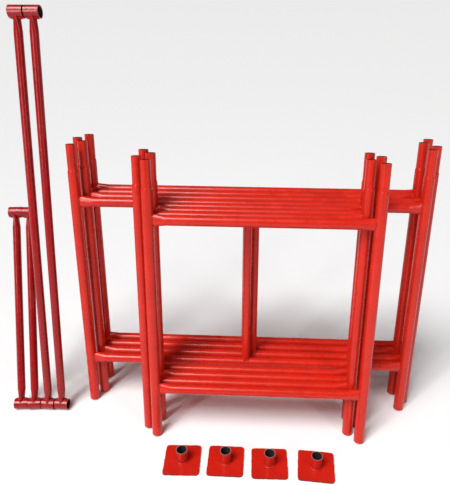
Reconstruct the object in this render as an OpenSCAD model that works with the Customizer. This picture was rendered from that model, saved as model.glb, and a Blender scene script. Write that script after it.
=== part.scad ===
// Knocked-down tower scaffold kit, leaning and laid out as it is stored.
// Four wide frames stand at the back, four narrow frames in front of them,
// four braces lean at the left and four base plates lie in front.
// Millimetres. +Z is up, the floor is z = 0 and the open front faces -Y.

/* [Frame tubes] */
// Outside diameter of every frame leg
leg_d = 48.3; // [46:0.1:50]
// Wall thickness of a frame leg
leg_wall = 2.2; // [1.8:0.1:3]
// Overall length of a leg with its spigot
leg_length = 1300; // [1150:10:1600]
// Length of the swaged spigot at a leg's top
spigot_length = 122; // [80:1:160]
// Outside diameter of the spigot
spigot_d = 43.2; // [41:0.1:44]
// Length of the cone between leg and spigot
swage_length = 10; // [5:1:20]
// Outside diameter of the rungs
rung_d = 44.8; // [38:0.1:45]
// Wall thickness of rungs, posts and braces
rung_wall = 2.4; // [1.8:0.1:3]
// Height of a narrow frame's top rung along the leg
top_rung_h = 1050; // [900:5:1120]
// Height of a narrow frame's bottom rung along the leg
bottom_rung_h = 246; // [150:5:400]
// Height of a wide frame's top rung along the leg
wide_top_rung_h = 1043; // [900:1:1120]
// Height of a wide frame's bottom rung along the leg
wide_bottom_rung_h = 239; // [150:1:400]
// Outside diameter of a wide frame's centre post
post_d = 38; // [30:0.5:42]

/* [Flattened tube ends] */
// Depth of a rung end where it meets the leg
rung_end_t = 27; // [20:1:32]
// Height of a rung end where it meets the leg
rung_end_w = 58; // [50:1:64]
// Length of the flattened end, from the leg's axis
rung_end_l = 78; // [60:1:110]
// Depth of a brace end where it meets the collar
brace_end_t = 20; // [14:1:28]
// Width of a brace end where it meets the collar
brace_end_w = 52; // [42:1:56]
// Length of the flattened end, from the collar's axis
brace_end_l = 72; // [50:1:110]

/* [Wide frames] */
// Leg spacing of the wide frames
wide_width = 1568; // [1300:2:1900]
// Left foot of the front wide frame, from the first base plate
wide_x = -513; // [-570:1:-492]
// Foot line of the front wide frame, behind that of the front narrow frame
wide_gap = 223; // [222:1:260]
// Distance from one wide frame to the next
wide_pitch = 57; // [50:1:80]
// Backward lean of the wide frames, degrees
wide_lean = 8.8; // [7:0.1:8.8]

/* [Narrow frames] */
// Leg spacing of the narrow frames
narrow_width = 960; // [800:10:1120]
// Left foot of the front narrow frame, from the first base plate
narrow_x = -142; // [-160:1:-120]
// Foot line of the front narrow frame, behind the base plates
narrow_y = 150; // [130:5:170]
// Distance from one narrow frame to the next
narrow_pitch = 47.5; // [47.4:0.1:47.6]
// Backward lean of the narrow frames, degrees
narrow_lean = 10.3; // [10.2:0.1:10.6]

/* [Braces] */
// Axis-to-axis length of the long braces
long_length = 1829; // [1500:10:2200]
// Axis-to-axis length of the short braces
short_length = 972; // [800:10:1200]
// Outside diameter of the brace tubes
brace_d = 38; // [32:0.5:42]
// Backward lean of the long braces, degrees
long_lean = 13.7; // [8:0.1:20]
// Backward lean of the short braces, degrees
short_lean = 27; // [15:0.5:35]
// Outside diameter of the collars
collar_d = 53; // [50:0.5:58]
// Bore of the collars
collar_bore = 44; // [43.6:0.1:46]
// Length of the collars
collar_l = 63; // [50:1:64]

/* [Base plates] */
// Side of the square plates
plate_size = 163; // [130:1:190]
// Thickness of the plates
plate_t = 6; // [4:0.5:10]
// Depth of the waves in the flame-cut edges
edge_wave = 1.5; // [0:0.1:2]
// Outside diameter of the socket
socket_d = 50; // [48:0.5:54]
// Bore of the socket
socket_bore = 44.4; // [43.8:0.1:46]
// Height of the socket's rim above the floor
socket_top = 70; // [50:1:110]

/* [Hidden] */
$fn = 96;
leg_r = leg_d / 2;
leg_bore_r = leg_r - leg_wall;
spigot_r = spigot_d / 2;
spigot_bore_r = spigot_r - leg_wall;
rung_r = rung_d / 2;
post_r = post_d / 2;
brace_r = brace_d / 2;
wide_shift = [0, 34, -7, 29];
wide_dy = [0, 0, 0, 0.5];
narrow_shift = [0, -48, 2, -38];
plate_x = [0, 196.5, 394, 602.5];
plate_dy = [0, 3.5, -0.5, -5.5];
plate_turn = [1.7, -0.4, 1, -4.1];
brace_x = [-861, -794.5, -724, -656];
brace_y = [286, 288.5, 292, 294];
short_turn = 5.9;
long_turn = -1.5;
steel_red = [0.78, 0.16, 0.12];
brace_red = [0.72, 0.12, 0.16];
edge_dark = [0.36, 0.08, 0.07];
slice = 0.02;
// How far inside the round tube's wall a flattened end's root stands
root_in = 0.5;
rung_in_r = rung_r - rung_wall + root_in;
brace_in_r = brace_r - rung_wall + root_in;

// Which node to draw

// Stands a wide frame in its place in the rear stack.
module in_wide(k) {
  translate([wide_x + wide_shift[k], narrow_y + wide_gap + k * wide_pitch + wide_dy[k], leg_r * sin(wide_lean)])
    rotate([-wide_lean, 0, 0])
      children();
}

// Stands a narrow frame in its place in the front stack.
module in_narrow(k) {
  translate([narrow_x + narrow_shift[k], narrow_y + k * narrow_pitch, leg_r * sin(narrow_lean)])
    rotate([-narrow_lean, 0, 0])
      children();
}

// Leans a short brace on its bottom collar.
module in_short(k) {
  translate([brace_x[k], brace_y[k], collar_d / 2])
    rotate([0, 0, short_turn])
      rotate([-short_lean, 0, 0])
        children();
}

// Leans a long brace on its bottom collar.
module in_long(k) {
  translate([brace_x[k + 2], brace_y[k + 2], collar_d / 2])
    rotate([0, 0, long_turn])
      rotate([-long_lean, 0, 0])
        children();
}

// A leg: open tube with a swaged-down spigot at the top.
module leg(x) {
  shoulder = leg_length - spigot_length;
  color(steel_red)
    translate([x, 0, 0])
      rotate_extrude()
        polygon([
          [leg_bore_r, 0],
          [leg_r, 0],
          [leg_r, shoulder],
          [spigot_r, shoulder + swage_length],
          [spigot_r, leg_length],
          [spigot_bore_r, leg_length],
          [spigot_bore_r, shoulder + swage_length],
          [leg_bore_r, shoulder]
        ]);
}

// A cross tube along X with both ends flattened and coped to the legs.
module rung(width, h) {
  mid = width - 2 * rung_end_l;
  color(steel_red)
    translate([0, 0, h])
      difference() {
        union() {
          translate([rung_end_l, 0, 0])
            rotate([0, 90, 0])
              difference() {
                cylinder(r = rung_r, h = mid);
                translate([0, 0, -1])
                  cylinder(r = rung_r - rung_wall, h = mid + 2);
              }
          rung_end(width, 0);
          rung_end(width, 1);
        }
        for (x = [0, width])
          translate([x, 0, -rung_end_w])
            rotate([0, 0, 90])
              cylinder(r = leg_r, h = 2 * rung_end_w);
      }
}

// One flattened end of a rung, at the left leg or at the right one.
module rung_end(width, far) {
  translate([far * width, 0, 0])
    mirror([far, 0, 0])
      difference() {
        flat_end(rung_r - root_in, rung_end_t / 2, rung_end_w / 2, 8, rung_end_l + 1);
        flat_end(rung_in_r, rung_end_t / 2 - rung_wall, rung_end_w / 2 - rung_wall, 7, rung_end_l + 1.5);
      }
}

// Tapers a round tube at x1 to a flat, tall oval at x0.
module flat_end(r, half_t, half_w, x0, x1) {
  hull() {
    translate([x0, 0, 0])
      rotate([0, 90, 0])
        scale([half_w / r, half_t / r, 1])
          cylinder(r = r, h = slice, $fn = 32);
    translate([x1 - slice, 0, 0])
      rotate([0, 90, 0])
        cylinder(r = r, h = slice, $fn = 32);
  }
}

// The upright tube between a wide frame's two rungs.
module centre_post() {
  color(steel_red)
    difference() {
      translate([wide_width / 2, 0, wide_bottom_rung_h])
        difference() {
          cylinder(r = post_r, h = wide_top_rung_h - wide_bottom_rung_h);
          translate([0, 0, -1])
            cylinder(r = post_r - rung_wall, h = wide_top_rung_h - wide_bottom_rung_h + 2);
        }
      for (h = [wide_bottom_rung_h, wide_top_rung_h])
        translate([wide_width / 2 - 40, 0, h])
          rotate([0, 90, 0])
            cylinder(r = rung_r, h = 80);
    }
}

// A brace tube with both ends flattened and coped to its collars.
module brace_tube(length) {
  color(brace_red)
    difference() {
      union() {
        translate([0, 0, brace_end_l])
          difference() {
            cylinder(r = brace_r, h = length - 2 * brace_end_l);
            translate([0, 0, -1])
              cylinder(r = brace_r - rung_wall, h = length - 2 * brace_end_l + 2);
          }
        brace_end(length, 0);
        brace_end(length, 1);
      }
      for (h = [0, length])
        translate([-40, 0, h])
          rotate([90, 0, 90])
            cylinder(r = collar_d / 2, h = 80);
    }
}

// One flattened end of a brace, at the bottom collar or at the top one.
module brace_end(length, far) {
  translate([0, 0, far * length])
    mirror([0, 0, far])
      rotate([0, -90, 0])
        difference() {
          flat_end(brace_r - root_in, brace_end_w / 2, brace_end_t / 2, 12, brace_end_l + 1);
          flat_end(brace_in_r, brace_end_w / 2 - rung_wall, brace_end_t / 2 - rung_wall, 11, brace_end_l + 1.5);
        }
}

// A short open sleeve across the end of a brace.
module collar(h) {
  color(brace_red)
    translate([-collar_l / 2, 0, h])
      rotate([0, 90, 0])
        difference() {
          cylinder(r = collar_d / 2, h = collar_l);
          translate([0, 0, -1])
            cylinder(r = collar_bore / 2, h = collar_l + 2);
        }
}

// Places a base plate and its socket.
module in_base(k) {
  translate([plate_x[k], plate_dy[k], 0])
    rotate([0, 0, plate_turn[k]])
      children();
}

// Radius of the rounded square outline in direction a, with cutting waves.
function outline(a, k) =
  plate_size / 2 / pow(pow(abs(cos(a)), 14) + pow(abs(sin(a)), 14), 1 / 14)
  - edge_wave * (0.5 + 0.3 * sin(a * 11 + k * 70) + 0.2 * sin(a * 23 + k * 131));

// Flame-cut square plate with rounded, slightly wavy edges.
module base_plate(k) {
  color(edge_dark)
    linear_extrude(plate_t)
      polygon([for (a = [0 : 3.75 : 359]) outline(a, k) * [cos(a), sin(a)]]);
}

// Upright socket standing on a base plate.
module base_socket() {
  color(steel_red)
    translate([0, 0, plate_t])
      difference() {
        cylinder(r = socket_d / 2, h = socket_top - plate_t);
        translate([0, 0, -1])
          cylinder(r = socket_bore / 2, h = socket_top - plate_t + 2);
      }
}

module wide_1_left_leg() {
  in_wide(0)
    leg(0);
}

module wide_1_right_leg() {
  in_wide(0)
    leg(wide_width);
}

module wide_1_top_rung() {
  in_wide(0)
    rung(wide_width, wide_top_rung_h);
}

module wide_1_bottom_rung() {
  in_wide(0)
    rung(wide_width, wide_bottom_rung_h);
}

module wide_1_centre_post() {
  in_wide(0)
    centre_post();
}

module wide_2_left_leg() {
  in_wide(1)
    leg(0);
}

module wide_2_right_leg() {
  in_wide(1)
    leg(wide_width);
}

module wide_2_top_rung() {
  in_wide(1)
    rung(wide_width, wide_top_rung_h);
}

module wide_2_bottom_rung() {
  in_wide(1)
    rung(wide_width, wide_bottom_rung_h);
}

module wide_2_centre_post() {
  in_wide(1)
    centre_post();
}

module wide_3_left_leg() {
  in_wide(2)
    leg(0);
}

module wide_3_right_leg() {
  in_wide(2)
    leg(wide_width);
}

module wide_3_top_rung() {
  in_wide(2)
    rung(wide_width, wide_top_rung_h);
}

module wide_3_bottom_rung() {
  in_wide(2)
    rung(wide_width, wide_bottom_rung_h);
}

module wide_3_centre_post() {
  in_wide(2)
    centre_post();
}

module wide_4_left_leg() {
  in_wide(3)
    leg(0);
}

module wide_4_right_leg() {
  in_wide(3)
    leg(wide_width);
}

module wide_4_top_rung() {
  in_wide(3)
    rung(wide_width, wide_top_rung_h);
}

module wide_4_bottom_rung() {
  in_wide(3)
    rung(wide_width, wide_bottom_rung_h);
}

module wide_4_centre_post() {
  in_wide(3)
    centre_post();
}

module narrow_1_left_leg() {
  in_narrow(0)
    leg(0);
}

module narrow_1_right_leg() {
  in_narrow(0)
    leg(narrow_width);
}

module narrow_1_top_rung() {
  in_narrow(0)
    rung(narrow_width, top_rung_h);
}

module narrow_1_bottom_rung() {
  in_narrow(0)
    rung(narrow_width, bottom_rung_h);
}

module narrow_2_left_leg() {
  in_narrow(1)
    leg(0);
}

module narrow_2_right_leg() {
  in_narrow(1)
    leg(narrow_width);
}

module narrow_2_top_rung() {
  in_narrow(1)
    rung(narrow_width, top_rung_h);
}

module narrow_2_bottom_rung() {
  in_narrow(1)
    rung(narrow_width, bottom_rung_h);
}

module narrow_3_left_leg() {
  in_narrow(2)
    leg(0);
}

module narrow_3_right_leg() {
  in_narrow(2)
    leg(narrow_width);
}

module narrow_3_top_rung() {
  in_narrow(2)
    rung(narrow_width, top_rung_h);
}

module narrow_3_bottom_rung() {
  in_narrow(2)
    rung(narrow_width, bottom_rung_h);
}

module narrow_4_left_leg() {
  in_narrow(3)
    leg(0);
}

module narrow_4_right_leg() {
  in_narrow(3)
    leg(narrow_width);
}

module narrow_4_top_rung() {
  in_narrow(3)
    rung(narrow_width, top_rung_h);
}

module narrow_4_bottom_rung() {
  in_narrow(3)
    rung(narrow_width, bottom_rung_h);
}

module short_1_tube() {
  in_short(0)
    brace_tube(short_length);
}

module short_1_bottom_collar() {
  in_short(0)
    collar(0);
}

module short_1_top_collar() {
  in_short(0)
    collar(short_length);
}

module short_2_tube() {
  in_short(1)
    brace_tube(short_length);
}

module short_2_bottom_collar() {
  in_short(1)
    collar(0);
}

module short_2_top_collar() {
  in_short(1)
    collar(short_length);
}

module long_1_tube() {
  in_long(0)
    brace_tube(long_length);
}

module long_1_bottom_collar() {
  in_long(0)
    collar(0);
}

module long_1_top_collar() {
  in_long(0)
    collar(long_length);
}

module long_2_tube() {
  in_long(1)
    brace_tube(long_length);
}

module long_2_bottom_collar() {
  in_long(1)
    collar(0);
}

module long_2_top_collar() {
  in_long(1)
    collar(long_length);
}

module base_1_plate() {
  in_base(0)
    base_plate(0);
}

module base_1_socket() {
  in_base(0)
    base_socket();
}

module base_2_plate() {
  in_base(1)
    base_plate(1);
}

module base_2_socket() {
  in_base(1)
    base_socket();
}

module base_3_plate() {
  in_base(2)
    base_plate(2);
}

module base_3_socket() {
  in_base(2)
    base_socket();
}

module base_4_plate() {
  in_base(3)
    base_plate(3);
}

module base_4_socket() {
  in_base(3)
    base_socket();
}

wide_1_left_leg();
wide_1_right_leg();
wide_1_top_rung();
wide_1_bottom_rung();
wide_1_centre_post();
wide_2_left_leg();
wide_2_right_leg();
wide_2_top_rung();
wide_2_bottom_rung();
wide_2_centre_post();
wide_3_left_leg();
wide_3_right_leg();
wide_3_top_rung();
wide_3_bottom_rung();
wide_3_centre_post();
wide_4_left_leg();
wide_4_right_leg();
wide_4_top_rung();
wide_4_bottom_rung();
wide_4_centre_post();
narrow_1_left_leg();
narrow_1_right_leg();
narrow_1_top_rung();
narrow_1_bottom_rung();
narrow_2_left_leg();
narrow_2_right_leg();
narrow_2_top_rung();
narrow_2_bottom_rung();
narrow_3_left_leg();
narrow_3_right_leg();
narrow_3_top_rung();
narrow_3_bottom_rung();
narrow_4_left_leg();
narrow_4_right_leg();
narrow_4_top_rung();
narrow_4_bottom_rung();
short_1_tube();
short_1_bottom_collar();
short_1_top_collar();
short_2_tube();
short_2_bottom_collar();
short_2_top_collar();
long_1_tube();
long_1_bottom_collar();
long_1_top_collar();
long_2_tube();
long_2_bottom_collar();
long_2_top_collar();
base_1_plate();
base_1_socket();
base_2_plate();
base_2_socket();
base_3_plate();
base_3_socket();
base_4_plate();
base_4_socket();
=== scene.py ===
import math
import random

import bmesh
import bpy
from mathutils import Matrix, Vector


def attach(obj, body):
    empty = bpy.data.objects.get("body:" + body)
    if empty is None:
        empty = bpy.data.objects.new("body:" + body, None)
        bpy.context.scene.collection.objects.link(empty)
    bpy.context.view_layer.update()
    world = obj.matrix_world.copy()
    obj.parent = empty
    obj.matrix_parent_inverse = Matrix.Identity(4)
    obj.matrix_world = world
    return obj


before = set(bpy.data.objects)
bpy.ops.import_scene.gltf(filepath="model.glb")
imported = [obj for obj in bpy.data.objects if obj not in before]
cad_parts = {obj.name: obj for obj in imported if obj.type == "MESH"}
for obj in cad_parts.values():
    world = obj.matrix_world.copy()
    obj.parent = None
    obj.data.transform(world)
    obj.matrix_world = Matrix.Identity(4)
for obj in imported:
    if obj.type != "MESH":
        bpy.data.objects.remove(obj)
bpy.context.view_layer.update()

# ---------------------------------------------------------------- sizes, in metres, as in part.scad
LEG_R = 0.02415
LEG_L = 1.3
RUNG_R = 0.0224
POST_R = 0.019
TOP_H = 1.05
BOTTOM_H = 0.246
WIDE_TOP_H = 1.043
WIDE_BOTTOM_H = 0.239
WIDE_W = 1.568
NARROW_W = 0.96
WIDE_LEAN = math.radians(8.8)
NARROW_LEAN = math.radians(10.3)
WIDE_FEET = [(-0.513, 0.373), (-0.479, 0.430), (-0.520, 0.487), (-0.484, 0.5445)]
NARROW_FEET = [(-0.142 + dx, 0.150 + 0.0475 * k) for k, dx in enumerate((0.0, -0.048, 0.002, -0.038))]
COLLAR_R = 0.0265
COLLAR_L = 0.063
# x, y, turn and lean in degrees, length
BRACES = {
    "short_1": (-0.861, 0.286, 5.9, 27.0, 0.972),
    "short_2": (-0.7945, 0.2885, 5.9, 27.0, 0.972),
    "long_1": (-0.724, 0.292, -1.5, 13.7, 1.829),
    "long_2": (-0.656, 0.294, -1.5, 13.7, 1.829),
}
BASES = [(0.0, 0.0), (0.1965, 0.0035), (0.394, -0.0005), (0.6025, -0.0055)]
PLATE_T = 0.006
SOCKET_R = 0.025
SOCKET_TOP = 0.070

# Weld paths: points round a rung end, a post end, a brace end and a socket foot.
RUNG_POINTS = 56
POST_POINTS = 48
BRACE_POINTS = 48
SOCKET_POINTS = 64
# Half height and half depth of a rung end where it meets the leg.
RUNG_END_TALL, RUNG_END_THIN = 0.0262, 0.0158
# Half width and half depth of a brace end where it meets the collar.
BRACE_END_WIDE, BRACE_END_THIN = 0.0238, 0.0120
BEAD_SIDES = 8


# ---------------------------------------------------------------- camera
def make_camera():
    data = bpy.data.cameras.new("camera")
    cam = bpy.data.objects.new("camera", data)
    bpy.context.collection.objects.link(cam)
    pitch, yaw, roll = 27.931, 2.499, -0.217
    data.sensor_fit = "HORIZONTAL"
    data.sensor_width = 36.0
    data.lens = 39.6
    data.shift_x = -0.0304
    data.shift_y = 0.0296
    cam.location = (0.3194, -1.5375, 1.8738)
    turn = Matrix.Rotation(math.radians(yaw), 3, "Z")
    tilt = Matrix.Rotation(math.radians(90 - pitch), 3, "X")
    spin = Matrix.Rotation(math.radians(-roll), 3, "Z")
    cam.rotation_euler = (turn @ tilt @ spin).to_euler()
    bpy.context.scene.camera = cam


make_camera()


# ---------------------------------------------------------------- materials
def shader(name):
    """A new material with a principled shader, its node tree, and object coordinates."""
    mat = bpy.data.materials.new(name)
    mat.use_nodes = True
    tree = mat.node_tree
    tree.nodes.clear()
    out = tree.nodes.new("ShaderNodeOutputMaterial")
    bsdf = tree.nodes.new("ShaderNodeBsdfPrincipled")
    tree.links.new(bsdf.outputs["BSDF"], out.inputs["Surface"])
    at = tree.nodes.new("ShaderNodeTexCoord").outputs["Object"]
    return mat, tree, bsdf, at


def ramp(tree, source, stops):
    """Colour of a linear ramp; stops are (position, colour) pairs."""
    node = tree.nodes.new("ShaderNodeValToRGB")
    elements = node.color_ramp.elements
    while len(elements) < len(stops):
        elements.new(0.5)
    for element, (pos, value) in zip(elements, stops):
        element.position = pos
        element.color = value if len(value) == 4 else (*value, 1.0)
    tree.links.new(source, node.inputs["Fac"])
    return node.outputs["Color"]


def noise(tree, coords, scale, detail=4.0, rough=0.55):
    node = tree.nodes.new("ShaderNodeTexNoise")
    node.inputs["Scale"].default_value = scale
    node.inputs["Detail"].default_value = detail
    node.inputs["Roughness"].default_value = rough
    tree.links.new(coords, node.inputs["Vector"])
    return node.outputs["Fac"]


def mix(tree, fac, a, b):
    """Mixed colour; each of fac, a and b is an output socket or a value."""
    node = tree.nodes.new("ShaderNodeMix")
    node.data_type = "RGBA"
    a_in = [s for s in node.inputs if s.name == "A" and s.type == "RGBA"][0]
    b_in = [s for s in node.inputs if s.name == "B" and s.type == "RGBA"][0]
    f_in = [s for s in node.inputs if s.name == "Factor" and s.type == "VALUE"][0]
    out = [s for s in node.outputs if s.type == "RGBA"][0]
    for sock, value in ((f_in, fac), (a_in, a), (b_in, b)):
        if hasattr(value, "is_linked"):
            tree.links.new(value, sock)
        elif sock.type == "RGBA":
            sock.default_value = value if len(value) == 4 else (*value, 1.0)
        else:
            sock.default_value = value
    return out


def paint(name, light, dark, scuff, wear=0.6, seed=0.0, rough=0.2, coat=0.15):
    """Gloss enamel over steel: uneven tone, rubbed patches and small chips."""
    mat, tree, bsdf, where = shader(name)
    shifted = tree.nodes.new("ShaderNodeMapping")
    shifted.inputs["Location"].default_value = (seed, seed * 0.7, seed * 1.3)
    tree.links.new(where, shifted.inputs["Vector"])
    at = shifted.outputs["Vector"]
    tone = ramp(tree, noise(tree, at, 9.0, 5.0), [(0.32, (0, 0, 0)), (0.68, (1, 1, 1))])
    colour = mix(tree, tone, light, dark)
    # Scuffed, paler patches where pieces rub on each other.
    rub = ramp(tree, noise(tree, at, 38.0, 7.0, 0.65), [(0.62, (0, 0, 0)), (0.80, (1, 1, 1))])
    colour = mix(tree, rub, colour, scuff)
    # Chips down to dark primer and steel.
    chip_stops = [(0.735 - 0.02 * wear, (0, 0, 0)), (0.75, (1, 1, 1))]
    chip = ramp(tree, noise(tree, at, 130.0, 3.0, 0.6), chip_stops)
    colour = mix(tree, chip, colour, (0.09, 0.045, 0.04))
    tree.links.new(colour, bsdf.inputs["Base Color"])
    rough_stops = [(0.30, (rough,) * 3), (0.75, (rough + 0.22,) * 3)]
    rough_map = ramp(tree, noise(tree, at, 26.0, 6.0, 0.6), rough_stops)
    tree.links.new(rough_map, bsdf.inputs["Roughness"])
    bump = tree.nodes.new("ShaderNodeBump")
    bump.inputs["Strength"].default_value = 0.06
    bump.inputs["Distance"].default_value = 0.002
    tree.links.new(noise(tree, at, 120.0, 4.0, 0.6), bump.inputs["Height"])
    tree.links.new(bump.outputs["Normal"], bsdf.inputs["Normal"])
    bsdf.inputs["Coat Weight"].default_value = coat
    bsdf.inputs["Coat Roughness"].default_value = 0.09
    bsdf.inputs["Specular IOR Level"].default_value = 0.3
    return mat


def bare_steel(name, base, rough=0.42):
    """Blotchy steel with specks of red paint."""
    mat, tree, bsdf, at = shader(name)
    blot = ramp(tree, noise(tree, at, 60.0, 6.0, 0.7), [(0.35, (0, 0, 0)), (0.7, (1, 1, 1))])
    colour = mix(tree, blot, base, tuple(0.55 * c for c in base))
    red = ramp(tree, noise(tree, at, 170.0, 4.0, 0.6), [(0.58, (0, 0, 0)), (0.66, (1, 1, 1))])
    colour = mix(tree, red, colour, (0.42, 0.07, 0.04))
    tree.links.new(colour, bsdf.inputs["Base Color"])
    bsdf.inputs["Metallic"].default_value = 0.55
    bsdf.inputs["Roughness"].default_value = rough
    return mat


def dark_bore(name):
    """Painted shade inside a tube: near-black, with a little rust."""
    mat, tree, bsdf, at = shader(name)
    stops = [(0.35, (0.010, 0.008, 0.010)), (0.7, (0.030, 0.018, 0.016))]
    # Near-black painted shade, with faint rust mixed in.
    shade_and_rust = ramp(tree, noise(tree, at, 45.0, 6.0, 0.65), stops)
    tree.links.new(shade_and_rust, bsdf.inputs["Base Color"])
    bsdf.inputs["Roughness"].default_value = 0.8
    return mat


FRAME_PAINT = paint(
    "frame_paint", (0.63, 0.018, 0.006), (0.53, 0.013, 0.004), (0.66, 0.028, 0.012),
    seed=0.3,
)
BRACE_PAINT = paint(
    "brace_paint", (0.36, 0.006, 0.008), (0.29, 0.005, 0.006), (0.44, 0.016, 0.016),
    seed=1.7, rough=0.16,
)
PLATE_PAINT = paint(
    "plate_paint", (0.55, 0.014, 0.006), (0.47, 0.011, 0.005), (0.58, 0.026, 0.014),
    wear=1.4, seed=3.1,
)
WELD_PAINT = paint(
    "weld_paint", (0.52, 0.013, 0.005), (0.40, 0.009, 0.004), (0.55, 0.022, 0.012),
    wear=1.2, seed=4.4, rough=0.32,
)
# Near-black paint for the plate sides: partly a burnt cut edge, partly painted shade.
EDGE_BURNT_AND_SHADE = paint(
    "plate_edge", (0.05, 0.005, 0.004), (0.02, 0.003, 0.003), (0.10, 0.010, 0.008),
    wear=2.0, seed=5.2, rough=0.5,
)
RIM = bare_steel("rim_steel", (0.42, 0.38, 0.38))
# BORE is near-black painted shade for the insides of tubes, with a little rust.
BORE = dark_bore("bore_shade_and_rust")


def dress(node, *mats):
    """Gives a CAD node these material slots."""
    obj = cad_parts[node]
    obj.data.materials.clear()
    for mat in mats:
        obj.data.materials.append(mat)
    return obj


def lean_frame(x, y, lean):
    """Foot centre and direction of a leg."""
    base = Vector((x, y, LEG_R * math.sin(lean)))
    up = Vector((0, math.sin(lean), math.cos(lean)))
    return base, up


def faces_by(obj, rule):
    """Sets each face's material slot from its centre and normal."""
    for poly in obj.data.polygons:
        poly.material_index = rule(poly.center, poly.normal)


# ---------------------------------------------------------------- finishes on the CAD nodes
def finish_tube(node, base, axis, length, paint_mat, rim=True):
    """Outside painted, bore in near-black painted shade, cut ends bare or painted."""
    obj = dress(node, paint_mat, BORE, RIM if rim else paint_mat)

    def rule(centre, normal):
        along = (centre - base).dot(axis)
        out = centre - base - axis * along
        if abs(normal.dot(axis)) > 0.9 and (along < 0.001 or along > length - 0.001):
            return 2
        return 1 if normal.dot(out) < 0 else 0

    faces_by(obj, rule)
    return obj


for k, (x, y) in enumerate(WIDE_FEET):
    for side, dx in (("left", 0.0), ("right", WIDE_W)):
        base, up = lean_frame(x + dx, y, WIDE_LEAN)
        finish_tube(f"wide_{k + 1}_{side}_leg", base, up, LEG_L, FRAME_PAINT, rim=False)
    for part in ("top_rung", "bottom_rung", "centre_post"):
        dress(f"wide_{k + 1}_{part}", FRAME_PAINT)
for k, (x, y) in enumerate(NARROW_FEET):
    for side, dx in (("left", 0.0), ("right", NARROW_W)):
        base, up = lean_frame(x + dx, y, NARROW_LEAN)
        finish_tube(f"narrow_{k + 1}_{side}_leg", base, up, LEG_L, FRAME_PAINT, rim=False)
    for part in ("top_rung", "bottom_rung"):
        dress(f"narrow_{k + 1}_{part}", FRAME_PAINT)


def brace_axes(name):
    """Bottom collar centre, tube direction, collar direction and length."""
    x, y, turn, lean, length = BRACES[name]
    turn, lean = math.radians(turn), math.radians(lean)
    base = Vector((x, y, COLLAR_R))
    tube = Vector((-math.sin(turn) * math.sin(lean), math.cos(turn) * math.sin(lean), math.cos(lean)))
    across = Vector((math.cos(turn), math.sin(turn), 0))
    return base, tube, across, length


for name in BRACES:
    base, tube, across, length = brace_axes(name)
    dress(f"{name}_tube", BRACE_PAINT)
    for end, h in (("bottom", 0.0), ("top", length)):
        start = base + tube * h - across * (COLLAR_L / 2)
        finish_tube(f"{name}_{end}_collar", start, across, COLLAR_L, BRACE_PAINT, rim=False)

for k, (x, y) in enumerate(BASES):
    plate = dress(f"base_{k + 1}_plate", PLATE_PAINT, EDGE_BURNT_AND_SHADE)
    # Every face not facing up or down gets the near-black edge paint: painted shade on the plate
    # sides, partly a burnt edge.
    faces_by(plate, lambda c, n: 0 if abs(n.z) > 0.7 else 1)
    foot = Vector((x, y, PLATE_T))
    finish_tube(f"base_{k + 1}_socket", foot, Vector((0, 0, 1)), SOCKET_TOP - PLATE_T, PLATE_PAINT)

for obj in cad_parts.values():
    for poly in obj.data.polygons:
        poly.use_smooth = True


# ---------------------------------------------------------------- weld beads
def bead(name, path, body, radius, seed, ripple=0.0045):
    """A rippled weld bead swept round a closed path of (point, outward normal) pairs."""
    rng = random.Random(seed)
    bm = bmesh.new()
    count = len(path)
    rings = []
    total = 0.0
    for i, (point, normal) in enumerate(path):
        nxt = path[(i + 1) % count][0]
        prv = path[i - 1][0]
        along = (nxt - prv).normalized()
        total += (point - prv).length
        normal = (normal - along * normal.dot(along)).normalized()
        side = along.cross(normal)
        wave = 1.0 + 0.16 * math.sin(total / ripple * 2 * math.pi) + rng.uniform(-0.10, 0.10)
        ring = []
        for s in range(BEAD_SIDES):
            a = 2 * math.pi * s / BEAD_SIDES
            offset = normal * math.cos(a) * 0.85 + side * math.sin(a)
            ring.append(bm.verts.new(point + offset * radius * wave))
        rings.append(ring)
    for i in range(count):
        a, b = rings[i], rings[(i + 1) % count]
        for s in range(BEAD_SIDES):
            t = (s + 1) % BEAD_SIDES
            bm.faces.new((a[s], a[t], b[t], b[s]))
    bmesh.ops.recalc_face_normals(bm, faces=bm.faces)
    mesh = bpy.data.meshes.new(name)
    bm.to_mesh(mesh)
    bm.free()
    for poly in mesh.polygons:
        poly.use_smooth = True
    obj = bpy.data.objects.new(name, mesh)
    bpy.context.collection.objects.link(obj)
    obj.data.materials.append(WELD_PAINT)
    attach(obj, body)
    return obj


def rung_weld(base, up, h, toward):
    """Path round a flattened rung end, on the leg's surface."""
    side = Vector((toward, 0, 0))
    depth = up.cross(Vector((1, 0, 0))).normalized()
    path = []
    tall, thin = RUNG_END_TALL, RUNG_END_THIN
    for i in range(RUNG_POINTS):
        a = 2 * math.pi * i / RUNG_POINTS
        v = math.cos(a) * tall
        d = math.sin(a) * thin
        out = math.sqrt(max(LEG_R ** 2 - d ** 2, 0))
        point = base + up * (h + v) + depth * d + side * out
        around = (up * math.cos(a) / tall + depth * math.sin(a) / thin).normalized()
        path.append((point, (around + side * 0.9).normalized()))
    return path


def post_weld(base, up, x, h, sign):
    """Path round a centre post's end, on the rung's surface."""
    depth = up.cross(Vector((1, 0, 0))).normalized()
    path = []
    for i in range(POST_POINTS):
        a = 2 * math.pi * i / POST_POINTS
        across = math.cos(a) * (POST_R + 0.001)
        d = math.sin(a) * (POST_R + 0.001)
        rise = math.sqrt(max(RUNG_R ** 2 - d ** 2, 0))
        point = base + Vector((x + across, 0, 0)) + up * (h + sign * rise) + depth * d
        normal = Vector((math.cos(a), 0, 0)) + depth * math.sin(a) + up * sign * 0.9
        path.append((point, normal.normalized()))
    return path


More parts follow.
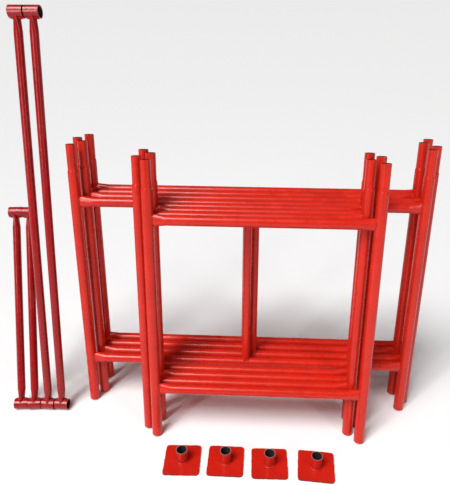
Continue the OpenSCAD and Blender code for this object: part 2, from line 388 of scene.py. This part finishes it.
for kind, feet, width, lean, levels in (
    ("wide", WIDE_FEET, WIDE_W, WIDE_LEAN, (WIDE_TOP_H, WIDE_BOTTOM_H)),
    ("narrow", NARROW_FEET, NARROW_W, NARROW_LEAN, (TOP_H, BOTTOM_H)),
):
    for k, (x, y) in enumerate(feet):
        body = f"{kind}_frame_{k + 1}"
        for level, h in zip(("top", "bottom"), levels):
            for side, dx, toward in (("left", 0.0, 1), ("right", width, -1)):
                base, up = lean_frame(x + dx, y, lean)
                path = rung_weld(base, up, h, toward)
                seed = k * 7 + len(level) + len(side)
                bead(f"{kind}_{k + 1}_{level}_{side}_weld", path, body, 0.0032, seed)
        if kind == "wide":
            base, up = lean_frame(x, y, lean)
            for level, h, sign in (("top", WIDE_TOP_H, -1), ("bottom", WIDE_BOTTOM_H, 1)):
                path = post_weld(base, up, width / 2, h, sign)
                seed = k * 11 + len(level)
                bead(f"wide_{k + 1}_{level}_post_weld", path, body, 0.0028, seed)

for name in BRACES:
    base, tube, across, length = brace_axes(name)
    body = name.replace("_", "_brace_", 1)
    fore = across.cross(tube).normalized()
    for end, h, sign in (("bottom", 0.0, 1), ("top", length, -1)):
        path = []
        wide, thin = BRACE_END_WIDE, BRACE_END_THIN
        for i in range(BRACE_POINTS):
            a = 2 * math.pi * i / BRACE_POINTS
            w, d = math.cos(a) * wide, math.sin(a) * thin
            rise = math.sqrt(COLLAR_R ** 2 - d ** 2)
            point = base + tube * (h + sign * rise) + across * w + fore * d
            around = (across * math.cos(a) / wide + fore * math.sin(a) / thin).normalized()
            path.append((point, (around + tube * sign * 0.9).normalized()))
        bead(f"{name}_{end}_weld", path, body, 0.0030, len(name) + len(end))

for k, (x, y) in enumerate(BASES):
    path = []
    start = 0.6 + 1.9 * k
    for i in range(SOCKET_POINTS):
        a = start + 2 * math.pi * i / SOCKET_POINTS
        out = Vector((math.cos(a), math.sin(a), 0))
        point = Vector((x, y, PLATE_T + 0.0008)) + out * (SOCKET_R + 0.0014)
        path.append((point, (out + Vector((0, 0, 0.9))).normalized()))
    bead(f"base_{k + 1}_weld", path, f"base_plate_{k + 1}", 0.0042, 31 + k, 0.006)


# ---------------------------------------------------------------- stage and light
def make_stage():
    mesh = bpy.data.meshes.new("floor")
    size = 300.0
    corners = [(-size, -size, 0), (size, -size, 0), (size, size, 0), (-size, size, 0)]
    mesh.from_pydata(corners, [], [(0, 1, 2, 3)])
    floor = bpy.data.objects.new("floor", mesh)
    bpy.context.collection.objects.link(floor)
    mat, _, bsdf, _ = shader("floor")
    bsdf.inputs["Base Color"].default_value = (0.88, 0.88, 0.88, 1)
    bsdf.inputs["Roughness"].default_value = 0.9
    floor.data.materials.append(mat)


def area(name, location, target, size, power):
    """A rectangular lamp that faces its target."""
    data = bpy.data.lights.new(name, "AREA")
    data.shape = "RECTANGLE"
    data.size, data.size_y = size
    data.energy = power
    lamp = bpy.data.objects.new(name, data)
    bpy.context.collection.objects.link(lamp)
    lamp.location = location
    lamp.rotation_euler = (Vector(target) - Vector(location)).to_track_quat("-Z", "Y").to_euler()


make_stage()
area("key", (-2.4, -2.6, 2.8), (0.1, 0.3, 0.6), (0.30, 2.6), 46)
area("strip", (2.8, -2.2, 2.4), (0.2, 0.3, 0.5), (0.22, 2.4), 20)
sun = bpy.data.lights.new("sky", "SUN")
sun.energy = 3.2
sun.angle = math.radians(30)
lamp = bpy.data.objects.new("sky", sun)
bpy.context.collection.objects.link(lamp)
lamp.rotation_euler = Vector((0.34, 0.36, -0.87)).to_track_quat("-Z", "Y").to_euler()
# The studio is pale where it is seen, and dim as a light, so that the tubes keep their contrast.
world = bpy.data.worlds.new("world")
bpy.context.scene.world = world
world.use_nodes = True
air = world.node_tree
dim = air.nodes["Background"]
dim.inputs["Color"].default_value = (1.0, 0.97, 0.95, 1)
dim.inputs["Strength"].default_value = 0.12
pale = air.nodes.new("ShaderNodeBackground")
pale.inputs["Color"].default_value = (0.86, 0.86, 0.86, 1)
pale.inputs["Strength"].default_value = 1.0
ray = air.nodes.new("ShaderNodeLightPath")
blend = air.nodes.new("ShaderNodeMixShader")
air.links.new(ray.outputs["Is Camera Ray"], blend.inputs[0])
air.links.new(dim.outputs["Background"], blend.inputs[1])
air.links.new(pale.outputs["Background"], blend.inputs[2])
air.links.new(blend.outputs["Shader"], air.nodes["World Output"].inputs["Surface"])

bpy.context.scene.view_settings.view_transform = "Standard"
